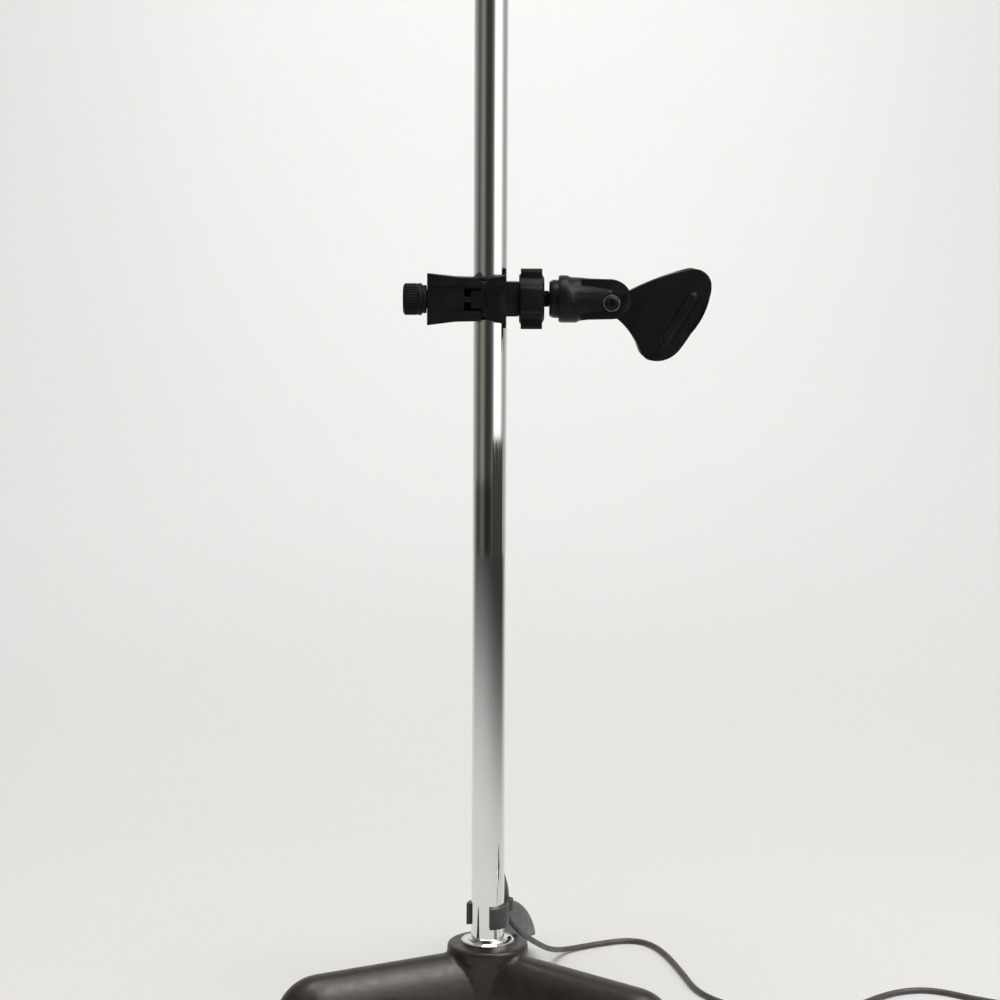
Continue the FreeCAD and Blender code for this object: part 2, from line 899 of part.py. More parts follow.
def plug_parts():
    """A three-pin microphone plug lying on the floor, its open end towards -X."""
    along = ((0, 1, 0), -90)
    boot = place(new_body("plug_boot"), BOOT_END, PLUG_Y, PLUG_RADIUS, along)
    turning(
        boot,
        [
            (dims.cable_radius + dims.push_fit, 0),
            (3.1, 0),
            (4.6, BOOT_LENGTH - 8),
            (7.6, BOOT_LENGTH - 3),
            (8.4, BOOT_LENGTH),
            (dims.cable_radius + dims.push_fit, BOOT_LENGTH),
        ],
    )
    shell = place(new_body("plug_shell"), BOOT_END - BOOT_LENGTH, PLUG_Y, PLUG_RADIUS, along)
    turning(
        shell,
        [
            (6.0, 0),
            (8.6, 0),
            (PLUG_RADIUS, 2),
            (PLUG_RADIUS, SHELL_LENGTH),
            (8.2, SHELL_LENGTH),
            (8.2, 14),
            (6.0, 14),
        ],
    )
    insert = place(new_body("plug_insert"), BOOT_END - BOOT_LENGTH, PLUG_Y, PLUG_RADIUS, along)
    extrusion(insert, circle(new_sketch(insert, "XY_Plane", 14.02), 8.18), 12.0)
    pins = []
    for i in range(3):
        pin = primitive("Cylinder", f"pin{i}", Radius=1.2, Height=14.0)
        angle = math.radians(90 + 120 * i)
        y = PLUG_Y + 3.9 * math.cos(angle)
        z = PLUG_RADIUS + 3.9 * math.sin(angle)
        pins.append(place(pin, BOOT_END - BOOT_LENGTH - 26.04, y, z, along))
    node(compound("pins", pins), "plug_pins")


# ---------------------------------------------------------------- side clamp


def clamp_body(label, x=0.0, y=0.0, turn=None):
    return place(new_body(label), x, y, dims.clamp_height, turn)


def clamp_sleeve():
    """The split rubber sleeve between the column and the jaws."""
    body = clamp_body("clamp_sleeve")
    half = dims.sleeve_half
    turning(body, ring(dims.tube_radius + dims.running_gap, dims.sleeve_radius, -half, half))
    slit = outline(new_sketch(body, "XY_Plane", -half - 1), [(-1, 9), (1, 9), (1, 15), (-1, 15)])
    extrusion(body, slit, half * 2 + 2, cut=True, backwards=True)


def block(body, plane, corners, along, back):
    """Pads an outline both ways from its plane by two lengths."""
    feature = extrusion(body, outline(new_sketch(body, plane), corners), along)
    feature.SideType = "Two sides"
    drive(feature, Length2=back)
    doc.recompute()
    return feature


def box_corners(left, right, low, high):
    return [(left, low), (right, low), (right, high), (left, high)]


INSERT_RADIUS = 4.2
TONGUE_LEFT = -12.3
WALL_START = 8.0


def hook_jaw():
    """The jaw on the arm's side: a flared block with the nut's boss, and a tongue that slides in the other jaw."""
    body = clamp_body("hook_jaw")
    low, high = 13.1, 15.9
    flared = [(-dims.hook_left, -low), (dims.hook_right, -high), (dims.hook_right, high), (-dims.hook_left, low)]
    block(body, "XZ_Plane", flared, dims.jaw_front, dims.jaw_back)
    panel_half = 8.9
    panel = new_sketch(body, "XZ_Plane", dims.jaw_front + 1)
    outline(panel, box_corners(-dims.hook_left - 1, dims.hook_right + 1, -panel_half, panel_half))
    extrusion(body, panel, 1.8, cut=True)
    wall = box_corners(-15.0, 15.0, -dims.boss_radius, dims.boss_radius)
    extrusion(body, outline(new_sketch(body, "YZ_Plane", WALL_START), wall), dims.nut_start - WALL_START - 0.5)
    boss = circle(new_sketch(body, "YZ_Plane", WALL_START), dims.boss_radius)
    extrusion(body, boss, dims.boss_end - WALL_START)
    seat = circle(new_sketch(body, "XY_Plane", -30.0), dims.seat_radius)
    extrusion(body, seat, 60.0, cut=True, backwards=True)
    tongue_half = 5.7
    tongue = new_sketch(body, "YZ_Plane", TONGUE_LEFT)
    outline(tongue, box_corners(-25.0, -14.4, -tongue_half, tongue_half))
    extrusion(body, tongue, -TONGUE_LEFT)
    hole = new_sketch(body, "YZ_Plane", TONGUE_LEFT - 1)
    circle(hole, INSERT_RADIUS + dims.push_fit, -dims.screw_offset, 0)
    extrusion(body, hole, 21.0, cut=True, backwards=True)


def screw_insert():
    """The brass thread in the tongue."""
    body = clamp_body("screw_insert", TONGUE_LEFT, -dims.screw_offset, ALONG_X)
    turning(body, ring(dims.screw_radius + dims.running_gap, INSERT_RADIUS, 0, 14))


DISH_DEPTH = 1.2


def saddle_jaw():
    """The jaw on the knob's side: a waisted block with a channel along its front face."""
    body = clamp_body("saddle_jaw")
    left, right = -dims.saddle_left, -dims.saddle_right
    profile = [
        (left, -16.7),
        (-23.0, -14.4),
        (right, -13.9),
        (right, 13.9),
        (-23.0, 14.4),
        (left, 16.7),
    ]
    block(body, "XZ_Plane", profile, dims.jaw_front, dims.jaw_back)
    corner = [(left - 1, -7.0), (-22.0, dims.jaw_back + 0.01), (-22.0, dims.jaw_back + 5), (left - 1, dims.jaw_back + 5)]
    extrusion(body, outline(new_sketch(body, "XY_Plane", -30.0), corner), 60.0, cut=True, backwards=True)
    seat = circle(new_sketch(body, "XY_Plane", -30.0), dims.seat_radius)
    extrusion(body, seat, 60.0, cut=True, backwards=True)
    channel_half = 7.3
    shallow = new_sketch(body, "XZ_Plane", dims.jaw_front + 1)
    outline(shallow, box_corners(left + 1.5, right + 1, -channel_half - 1.6, channel_half + 1.6))
    extrusion(body, shallow, 2.0, cut=True)
    deep = new_sketch(body, "XZ_Plane", dims.jaw_front + 1)
    outline(deep, box_corners(-16.8, right + 1, -channel_half, channel_half))
    extrusion(body, deep, dims.jaw_front - 13.0, cut=True)
    hole = circle(new_sketch(body, "YZ_Plane", left - 1), dims.screw_radius + 0.4, -dims.screw_offset, 0)
    extrusion(body, hole, 30.0, cut=True, backwards=True)
    dish = circle(new_sketch(body, "YZ_Plane", left - 1), 7.2, -dims.screw_offset, 0)
    extrusion(body, dish, DISH_DEPTH + 1, cut=True, backwards=True)


def knob_washer():
    """A steel washer in the saddle's dished end."""
    body = clamp_body("knob_washer", DISH_DEPTH - dims.saddle_left, -dims.screw_offset, ((0, 1, 0), -90))
    turning(body, ring(dims.screw_radius + 0.35, 6.6, 0, DISH_DEPTH - 0.05))


KNOB_NECK = 3.2
KNOB_SOCKET = 5.0


def screw_knob():
    """A round knurled knob with a plain band and a flange at its inner end."""
    body = clamp_body("screw_knob", -dims.knob_face, -dims.screw_offset, ((0, 1, 0), -90))
    radius = dims.knob_radius
    length = dims.knob_length
    turning(
        body,
        [
            (0, -KNOB_NECK),
            (5.8, -KNOB_NECK),
            (5.8, 0.4 - KNOB_NECK),
            (dims.knob_flange, 0.4 - KNOB_NECK),
            (dims.knob_flange, 0),
            (radius - 0.8, 0),
            (radius, 0.8),
            (radius, 3.0),
            (radius - 0.5, 3.4),
            (radius - 0.5, length - 1.2),
            (radius - 1.6, length),
            (0, length),
        ],
    )
    shank = circle(new_sketch(body, "XY_Plane", -KNOB_NECK - 1), dims.screw_radius)
    extrusion(body, shank, KNOB_SOCKET + KNOB_NECK + 1, cut=True, backwards=True)


SCREW_LENGTH = 49.0


def clamp_screw():
    body = clamp_body("clamp_screw", -dims.knob_face - KNOB_SOCKET, -dims.screw_offset, ALONG_X)
    turning(
        body,
        [(0, 0), (dims.screw_radius, 0), (dims.screw_radius, SCREW_LENGTH - 1), (2.2, SCREW_LENGTH), (0, SCREW_LENGTH)],
    )


STUD_FLANGE = 10.8
FLANGE_THICK = 2.7
FLANGE_PLAY = 0.3
LOBE_HALF = 8.7
LOBE_ROUND = 3.0


def ring_nut():
    """The lobed nut that traps the arm stud's flange against the boss."""
    body = clamp_body("ring_nut", dims.nut_start, 0, ALONG_X)
    length = dims.nut_length
    cavity = STUD_FLANGE + 0.7
    floor = dims.boss_end + FLANGE_THICK + FLANGE_PLAY * 2 + 0.1 - dims.nut_start
    hole = dims.stud_neck + 0.7
    turning(
        body,
        [
            (cavity, 0),
            (dims.nut_radius - 0.8, 0),
            (dims.nut_radius, 0.8),
            (dims.nut_radius, length - 1.5),
            (dims.nut_radius - 2.5, length),
            (hole, length),
            (hole, floor),
            (cavity, floor),
        ],
    )
    lobe = [
        (12.5, -LOBE_HALF),
        (dims.lobe_radius - LOBE_ROUND, -LOBE_HALF, LOBE_ROUND),
        (dims.lobe_radius, LOBE_ROUND - LOBE_HALF),
        (dims.lobe_radius, LOBE_HALF - LOBE_ROUND, LOBE_ROUND),
        (dims.lobe_radius - LOBE_ROUND, LOBE_HALF),
        (12.5, LOBE_HALF),
    ]
    first = extrusion(body, outline(new_sketch(body, "XY_Plane", 1.1), lobe), 14.0)
    round_about(first, 4)


def arm_stud():
    """The arm's flanged stud: a thick neck through the nut, then the thread."""
    body = clamp_body("arm_stud", turn=ALONG_X)
    shank = dims.stud_radius
    flange = dims.boss_end + FLANGE_PLAY
    neck_end = dims.arm_collar_start - 0.4
    turning(
        body,
        [
            (0, flange),
            (STUD_FLANGE, flange),
            (STUD_FLANGE, flange + FLANGE_THICK),
            (dims.stud_neck, flange + FLANGE_THICK),
            (dims.stud_neck, neck_end),
            (shank, neck_end),
            (shank, dims.stud_end - 1),
            (shank - 0.8, dims.stud_end),
            (0, dims.stud_end),
        ],
    )


SOCKET_FLOOR = 58.6
INSERT_OUTER = 7.0


def thread_insert():
    body = clamp_body("thread_insert", turn=ALONG_X)
    start = dims.arm_collar_start + 0.6
    turning(body, ring(dims.stud_radius + dims.push_fit, INSERT_OUTER, start, SOCKET_FLOOR - 0.1))


COLLAR_RADIUS = 12.6
COLLAR_SEAT = 2.0


def insert_collar():
    body = clamp_body("insert_collar", turn=ALONG_X)
    start = dims.arm_collar_start
    end = dims.barrel_start + COLLAR_SEAT
    inner = INSERT_OUTER + dims.loose_fit
    turning(body, [(inner, start), (11.4, start), (COLLAR_RADIUS, start + 2.5), (COLLAR_RADIUS, end), (inner, end)])


CHEEK_FLOOR = 10.2
RECESS_RADIUS = 6.4
SLOT_START = 66.0


def clip_barrel():
    """The arm's barrel: a lipped socket at one end and a round-nosed fork for the microphone clip at the other."""
    body = clamp_body("clip_barrel", turn=ALONG_X)
    start = dims.barrel_start
    ear = dims.ear_radius
    nose = ear - 0.6
    tip = 4.0
    bore = INSERT_OUTER + dims.loose_fit
    socket = COLLAR_RADIUS + dims.loose_fit
    nose_end = dims.pivot_x + round(math.sqrt(nose.value**2 - tip**2), 3)
    turning(
        body,
        [
            (socket, start),
            (15.0, start),
            (15.6, start + 1.5),
            (15.6, start + 9),
            (dims.barrel_radius + 0.2, start + 11.5),
            (nose, dims.pivot_x, -nose),
            (tip, nose_end),
            (0, nose_end),
            (0, SOCKET_FLOOR),
            (bore, SOCKET_FLOOR),
            (bore, start + COLLAR_SEAT),
            (socket, start + COLLAR_SEAT),
        ],
    )
    ears = new_sketch(body, "XZ_Plane")
    outline(
        ears,
        [
            (-ear - 0.5, SOCKET_FLOOR + 1),
            (ear + 0.5, SOCKET_FLOOR + 1),
            (ear, dims.pivot_x, ear),
            (0, dims.pivot_x + ear, ear),
            (-ear, dims.pivot_x),
        ],
    )
    extrusion(body, ears, dims.ear_half_depth * 2, both_ways=True)
    slot = new_sketch(body, "YZ_Plane")
    outline(slot, box_corners(-dims.fork_half_gap, dims.fork_half_gap, SLOT_START, dims.pivot_x + ear + 1))
    extrusion(body, slot, 40.0, cut=True, both_ways=True)
    hole = circle(
        new_sketch(body, "XZ_Plane"), dims.pivot_bolt_radius + dims.push_fit, dims.pivot_drop, dims.pivot_x
    )
    extrusion(body, hole, 40.0, cut=True, both_ways=True)
    for side in (1, -1):
        recess = circle(new_sketch(body, "XZ_Plane", 20.0 * side), RECESS_RADIUS, dims.pivot_drop, dims.pivot_x)
        extrusion(body, recess, 20.0 - CHEEK_FLOOR, cut=True, backwards=side < 0)


def pivot_body(label, y=0.0, turn=None):
    return place(new_body(label), dims.pivot_x, y, dims.clamp_height - dims.pivot_drop, turn)


FACING_FRONT = ((1, 0, 0), 90)
FACING_BACK = ((1, 0, 0), -90)


def pivot_washers():
    rings = []
    for name, turn in (("front", FACING_FRONT), ("back", FACING_BACK)):
        side = -1 if name == "front" else 1
        outer = primitive("Cylinder", f"{name}_washer_disc", Radius=5.6, Height=0.9)
        inner = primitive("Cylinder", f"{name}_washer_hole", Radius=dims.pivot_bolt_radius + dims.loose_fit, Height=0.9)
        washer = without(f"{name}_washer", outer, inner)
        rings.append(
            place(washer, dims.pivot_x, side * (CHEEK_FLOOR + 0.02), dims.clamp_height - dims.pivot_drop, turn)
        )
    node(compound("pivot_washer_pair", rings), "pivot_washers")


def pivot_bolt():
    """A button-headed socket screw through the fork; its head faces the front."""
    start = CHEEK_FLOOR + 0.94
    body = pivot_body("pivot_bolt", -start, FACING_FRONT)
    shank = dims.pivot_bolt_radius
    turning(body, [(0, -28.0), (shank, -28.0), (shank, 0), (4.9, 0), (4.6, 1.6), (3.4, 2.6), (0, 2.6)])
    socket = outline(new_sketch(body, "XY_Plane", 3.0), hexagon(3.0))
    extrusion(body, socket, 2.2, cut=True)


def pivot_nut():
    body = pivot_body("pivot_nut", CHEEK_FLOOR + 0.94, FACING_BACK)
    extrusion(body, outline(new_sketch(body), hexagon(8.0)), 4.0)
    hole = circle(new_sketch(body, "XY_Plane", -1.0), dims.pivot_bolt_radius + dims.push_fit)
    extrusion(body, hole, 6.0, cut=True, backwards=True)


def clip_cup():
    """The microphone clip: a neck on the pivot, and two sprung cheeks round a bore that is open at its mouth.

    In the body's own axes X runs from the pivot to the mouth and Z runs along the microphone."""
    body = pivot_body("clip_cup", turn=((0, 1, 0), DIMENSIONS["clip_tilt"]))
    neck_round = 8.7
    side_view = [
        (3.4, -8.0, -neck_round),
        (-neck_round, 0, -neck_round),
        (-1.5, 8.57),
        (5.6, 11.0, -150.0),
        (33.1, 42.2, -11.8),
        (51.0, 42.0, -21.0),
        (54.7, 33.6, -56.0),
        (55.1, 6.9, -110.0),
        (53.6, -5.2, -19.3),
        (37.0, -21.6, -12.2),
        (30.1, -18.3, 45.0),
        (9.0, -7.6),
    ]
    extrusion(body, outline(new_sketch(body, "XZ_Plane"), side_view), dims.cup_half_width * 2, both_ways=True)
    reach = dims.cup_reach
    outer = dims.cup_half_width
    for side in (1, -1):
        shoulder_x, shoulder_y = on_circle(outer, 128 * side)
        lip_x, lip_y = on_circle(outer, 50 * side)
        beside_neck = [
            (-15, dims.neck_half * side),
            (19.5, dims.neck_half * side),
            (reach + shoulder_x, shoulder_y, -outer * side),
            (reach, outer * side),
            (reach, 24 * side),
            (-15, 24 * side),
        ]
        beside_mouth = [
            (reach, outer * side, -outer * side),
            (reach + lip_x, lip_y),
            (dims.cup_mouth + 2, 17.4 * side),
            (dims.cup_mouth + 2, 24 * side),
            (reach, 24 * side),
        ]
        for corners in (beside_neck, beside_mouth):
            waste = outline(new_sketch(body, "XY_Plane", -40.0), corners)
            extrusion(body, waste, 120.0, cut=True, backwards=True)
    bore = circle(new_sketch(body, "XY_Plane", -40.0), dims.cup_bore, reach, 0)
    extrusion(body, bore, 120.0, cut=True, backwards=True)
    edge_x, edge_y = on_circle(dims.cup_bore, 48)
    mouth = [
        (reach + edge_x, -edge_y),
        (dims.cup_mouth + 2, -14.6),
        (dims.cup_mouth + 2, 14.6),
        (reach + edge_x, edge_y),
        (reach, edge_y),
        (reach, -edge_y),
    ]
    extrusion(body, outline(new_sketch(body, "XY_Plane", -40.0), mouth), 120.0, cut=True, backwards=True)
    pivot_hole = circle(new_sketch(body, "XZ_Plane"), dims.pivot_bolt_radius + dims.running_gap)
    extrusion(body, pivot_hole, 40.0, cut=True, both_ways=True)
    for side in (1, -1):
        dent = body.newObject("PartDesign::SubtractiveEllipsoid", "cheek_dent")
        drive(dent, Radius1=23.0, Radius2=10.0, Radius3=4.0)
        dent.Angle1, dent.Angle2, dent.Angle3 = -90, 90, 360
        place(dent, dims.cup_reach, (outer + 2.6) * side, 12.0)
        doc.recompute()
        body.Tip = dent


# ---------------------------------------------------------------- the whole stand


def make_all():
    base_casting()
    rubber_feet()
    base_flange()
    lower_tube()
    tube_bottom_plug()
    base_washer()
    base_bolt()
    clutch_body()
    clutch_grip()
    clutch_collet()
    upper_tube()
    guide_bush()
    top_stud()
    cable_clip()
    cable_grommet()
    cable_tube("cable_lead", lead_points())
    cable_tube("cable_tail", TAIL_ROUTE)
    coil_solid()
    coil_tie()
    plug_parts()
    clamp_sleeve()
    hook_jaw()
    screw_insert()
    saddle_jaw()
    knob_washer()
    screw_knob()
    clamp_screw()
    ring_nut()
    arm_stud()
    thread_insert()
    insert_collar()
    clip_barrel()
    pivot_washers()
    pivot_bolt()
    pivot_nut()
    clip_cup()


def check_document():
    """Stops on any object that did not build."""
    doc.recompute()
    faults = [o.Name for o in doc.Objects if {"Invalid", "Error"} & set(o.State)]
    faults += [n.Label for n in NODES if n.Shape.isNull() or not n.Shape.isValid() or not n.Shape.Solids]
    loose = [o.Name for o in doc.Objects if o.TypeId == "Sketcher::SketchObject" and not o.FullyConstrained]
    if faults or loose:
        raise SystemExit(f"failed: {faults}, not fully constrained: {loose}")


def write_steps():
    os.makedirs("parts", exist_ok=True)
    for part in NODES:
        part.Shape.exportStep(os.path.join("parts", f"{part.Label}.step"))
        print(f"{part.Label}: {len(part.Shape.Solids)} solid(s), {part.Shape.Volume / 1000:.2f} cm3")


make_all()
check_document()
write_steps()
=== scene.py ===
import math

import bmesh
import bpy
from mathutils import Matrix, Vector
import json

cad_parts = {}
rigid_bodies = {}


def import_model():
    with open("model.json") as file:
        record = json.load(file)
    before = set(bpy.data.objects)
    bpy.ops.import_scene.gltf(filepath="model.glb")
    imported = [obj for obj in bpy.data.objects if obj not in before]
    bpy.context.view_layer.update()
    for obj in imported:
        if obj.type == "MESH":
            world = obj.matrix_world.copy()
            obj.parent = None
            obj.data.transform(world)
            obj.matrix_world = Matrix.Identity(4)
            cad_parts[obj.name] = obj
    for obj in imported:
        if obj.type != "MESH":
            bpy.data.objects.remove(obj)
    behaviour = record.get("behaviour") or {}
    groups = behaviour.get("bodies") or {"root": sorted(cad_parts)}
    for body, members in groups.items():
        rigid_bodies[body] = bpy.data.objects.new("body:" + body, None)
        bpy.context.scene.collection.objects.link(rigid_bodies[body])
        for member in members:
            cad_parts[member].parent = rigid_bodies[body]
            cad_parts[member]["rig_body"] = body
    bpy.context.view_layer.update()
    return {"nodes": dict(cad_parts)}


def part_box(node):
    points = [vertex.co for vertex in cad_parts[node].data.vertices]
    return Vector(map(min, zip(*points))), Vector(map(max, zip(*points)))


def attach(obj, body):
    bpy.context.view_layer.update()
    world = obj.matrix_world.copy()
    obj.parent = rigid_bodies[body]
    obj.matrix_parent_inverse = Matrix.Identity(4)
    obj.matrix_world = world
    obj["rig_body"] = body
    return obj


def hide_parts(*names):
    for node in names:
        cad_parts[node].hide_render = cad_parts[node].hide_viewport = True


# Microphone stand on a cast tripod base. The scene is in metres and the shapes' own numbers are in mm. The
# origin is on the floor on the column's axis, +X is the way the side arm points and -Y is the front.

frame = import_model()
NODES = frame["nodes"]
MM = 0.001
TURN = 2 * math.pi


# ---------------------------------------------------------------- camera


CAMERA_PLACE = (0.0094, -1.5, 0.527)
CAMERA_PITCH = 4.5
CAMERA_ROLL = 0.26
CAMERA_LENS = 81.97
CAMERA_SHIFT = (-0.0040, -0.09)


def make_camera():
    """A long lens a little above the middle of the stand, looking slightly down."""
    data = bpy.data.cameras.new("camera")
    data.sensor_width = 36.0
    data.lens = CAMERA_LENS
    data.shift_x, data.shift_y = CAMERA_SHIFT
    data.clip_end = 60.0
    camera = bpy.data.objects.new("camera", data)
    bpy.context.scene.collection.objects.link(camera)
    down = math.radians(90.0 - CAMERA_PITCH)
    roll = math.radians(CAMERA_ROLL)
    place = Matrix.Translation(CAMERA_PLACE)
    camera.matrix_world = place @ Matrix.Rotation(down, 4, "X") @ Matrix.Rotation(roll, 4, "Z")
    bpy.context.scene.camera = camera


# ---------------------------------------------------------------- materials


class Finish:
    """A procedural material built up from a base colour, a roughness and a few noise layers, in metres."""

    def __init__(self, name, colour, roughness, metallic=0.0, **sockets):
        self.material = bpy.data.materials.new(name)
        self.material.use_nodes = True
        self.tree = self.material.node_tree
        self.shader = self.tree.nodes["Principled BSDF"]
        self.shader.inputs["Base Color"].default_value = (*colour, 1.0)
        self.shader.inputs["Roughness"].default_value = roughness
        self.shader.inputs["Metallic"].default_value = metallic
        for socket, value in sockets.items():
            self.shader.inputs[socket.replace("_", " ")].default_value = value
        self.normal = None

    def add(self, kind, **settings):
        made = self.tree.nodes.new(kind)
        for key, value in settings.items():
            setattr(made, key, value)
        return made

    def link(self, out, into):
        self.tree.links.new(out, into)

    def coordinates(self, stretch=(1, 1, 1)):
        place = self.add("ShaderNodeTexCoord")
        mapping = self.add("ShaderNodeMapping")
        mapping.inputs["Scale"].default_value = stretch
        self.link(place.outputs["Object"], mapping.inputs["Vector"])
        return mapping.outputs["Vector"]

    def noise(self, size_mm, detail=2.0, stretch=(1, 1, 1)):
        made = self.add("ShaderNodeTexNoise")
        made.inputs["Scale"].default_value = 1.0 / (size_mm * MM)
        made.inputs["Detail"].default_value = detail
        self.link(self.coordinates(stretch), made.inputs["Vector"])
        return made.outputs["Fac"]

    def spread(self, source, low, high, start=0.3, end=0.7):
        made = self.add("ShaderNodeMapRange")
        made.inputs["From Min"].default_value = start
        made.inputs["From Max"].default_value = end
        made.inputs["To Min"].default_value = low
        made.inputs["To Max"].default_value = high
        self.link(source, made.inputs["Value"])
        return made.outputs["Result"]

    def vary_colour(self, source, dark, light, start=0.3, end=0.7):
        mix = self.add("ShaderNodeMix", data_type="RGBA")
        mix.inputs["A"].default_value = (*dark, 1.0)
        mix.inputs["B"].default_value = (*light, 1.0)
        self.link(self.spread(source, 0.0, 1.0, start, end), mix.inputs["Factor"])
        self.link(mix.outputs["Result"], self.shader.inputs["Base Color"])
        return self

    def vary_roughness(self, source, low, high):
        self.link(self.spread(source, low, high), self.shader.inputs["Roughness"])
        return self

    def bump(self, source, depth_mm, strength=1.0):
        made = self.add("ShaderNodeBump")
        made.inputs["Distance"].default_value = depth_mm * MM
        made.inputs["Strength"].default_value = strength
        self.link(source, made.inputs["Height"])
        if self.normal is not None:
            self.link(self.normal, made.inputs["Normal"])
        self.normal = made.outputs["Normal"]
        self.link(self.normal, self.shader.inputs["Normal"])
        return self


def cast_paint():
    finish = Finish("cast_paint", (0.019, 0.0145, 0.0105), 0.36, Specular_IOR_Level=0.4)
    finish.vary_colour(finish.noise(9.0, 4.0), (0.015, 0.0112, 0.0080), (0.024, 0.0185, 0.0140))
    finish.vary_roughness(finish.noise(5.0, 3.0), 0.30, 0.42)
    finish.bump(finish.noise(22.0, 2.0), 0.5, 0.30)
    return finish.bump(finish.noise(1.1, 3.0), 0.13, 0.45)


def chrome():
    finish = Finish("chrome", (0.78, 0.78, 0.77), 0.04, 1.0)
    finish.vary_colour(finish.noise(40.0, 3.0), (0.76, 0.76, 0.75), (0.80, 0.80, 0.79))
    return finish.vary_roughness(finish.noise(1.2, 3.0, (1, 1, 0.02)), 0.03, 0.065)


def zinc():
    finish = Finish("zinc", (0.52, 0.52, 0.50), 0.3, 1.0)
    finish.vary_colour(finish.noise(3.0, 4.0), (0.47, 0.47, 0.46), (0.57, 0.57, 0.55))
    return finish.vary_roughness(finish.noise(1.5, 2.0), 0.24, 0.4)


def brass():
    finish = Finish("brass", (0.72, 0.52, 0.22), 0.28, 1.0)
    return finish.vary_roughness(finish.noise(1.0, 3.0), 0.2, 0.36)


def moulded(name, colour, roughness, grain_mm, grain_depth, **sockets):
    """Moulded plastic or rubber: a slow drift in colour and gloss, and a fine spark-eroded grain."""
    finish = Finish(name, colour, roughness, **sockets)
    dark = tuple(c * 0.8 for c in colour)
    light = tuple(c * 1.25 for c in colour)
    finish.vary_colour(finish.noise(12.0, 3.0), dark, light)
    finish.vary_roughness(finish.noise(7.0, 3.0), roughness - 0.05, roughness + 0.07)
    return finish.bump(finish.noise(grain_mm, 2.0), grain_depth, 0.5)


def woven(name, colour):
    """A strap's ribbed weave."""
    finish = Finish(name, colour, 0.85, Sheen_Weight=0.3)
    weave = finish.add("ShaderNodeTexWave", wave_type="BANDS", bands_direction="DIAGONAL")
    weave.inputs["Scale"].default_value = 420.0
    weave.inputs["Distortion"].default_value = 0.6
    finish.link(finish.coordinates(), weave.inputs["Vector"])
    finish.vary_colour(weave.outputs["Fac"], tuple(c * 0.6 for c in colour), tuple(c * 1.7 for c in colour))
    return finish.bump(weave.outputs["Fac"], 0.25, 0.8)


def make_finishes():
    made = {
        "base_paint": cast_paint(),
        "chrome": chrome(),
        "zinc": zinc(),
        "brass": brass(),
        "black_rubber": moulded("black_rubber", (0.022, 0.022, 0.022), 0.7, 0.5, 0.05),
        "cable_jacket": moulded("cable_jacket", (0.060, 0.052, 0.047), 0.5, 0.6, 0.03),
        "black_plastic": moulded(
            "black_plastic", (0.0080, 0.0078, 0.0078), 0.42, 0.35, 0.035, Specular_IOR_Level=0.08
        ),
        "clip_plastic": moulded(
            "clip_plastic", (0.0085, 0.0086, 0.0088), 0.30, 0.4, 0.015, Specular_IOR_Level=0.11
        ),
        "black_steel": moulded("black_steel", (0.0080, 0.0080, 0.0080), 0.32, 0.6, 0.01),
        "grey_plastic": moulded("grey_plastic", (0.040, 0.039, 0.037), 0.45, 0.35, 0.03),
        "nylon": moulded("nylon", (0.60, 0.59, 0.55), 0.4, 0.5, 0.02),
        "strap": woven("strap", (0.020, 0.020, 0.020)),
    }
    return {slot: finish.material for slot, finish in made.items()}


FINISHES = make_finishes()
NODE_SLOTS = {
    "base_paint": ["base_casting"],
    "black_rubber": ["rubber_feet", "cable_grommet", "clamp_sleeve", "plug_boot", "clutch_grip"],
    "chrome": ["base_flange", "lower_tube", "upper_tube", "plug_shell"],
    "zinc": [
        "base_bolt",
        "base_washer",
        "top_stud",
        "clamp_screw",
        "knob_washer",
        "arm_stud",
        "pivot_washers",
        "pivot_nut",
    ],
    "brass": ["screw_insert", "thread_insert", "plug_pins"],
    "grey_plastic": ["cable_clip"],
    "nylon": ["guide_bush", "clutch_collet"],
    "cable_jacket": ["cable_lead", "cable_tail", "cable_coil"],
    "strap": ["coil_tie"],
    "clip_plastic": ["clip_barrel", "clip_cup", "insert_collar", "pivot_bolt"],
    "black_plastic": [
        "tube_bottom_plug",
        "clutch_body",
        "hook_jaw",
        "saddle_jaw",
        "screw_knob",
        "ring_nut",
        "plug_insert",
    ],
}
SLOT_OF = {node: slot for slot, nodes in NODE_SLOTS.items() for node in nodes}
# Plated steel that is blackened rather than bright.
BLACKENED = ["clamp_screw", "knob_washer", "arm_stud"]


def finish_of(node):
    return FINISHES["black_steel" if node in BLACKENED else SLOT_OF[node]]


def paint_nodes():
    for node in SLOT_OF:
        data = NODES[node].data
        data.materials.clear()
        data.materials.append(finish_of(node))


# ---------------------------------------------------------------- making pieces


def add_piece(name, data, nodes):
    """Links an object that stands for some CAD nodes and rides with them."""
    piece = bpy.data.objects.new(name, data)
    bpy.context.scene.collection.objects.link(piece)
    data.materials.clear()
    data.materials.append(finish_of(nodes[0]))
    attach(piece, NODES[nodes[0]]["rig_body"])
    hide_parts(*nodes)
    return piece


def smooth_shaded(mesh):
    for face in mesh.polygons:
        face.use_smooth = True
    return mesh


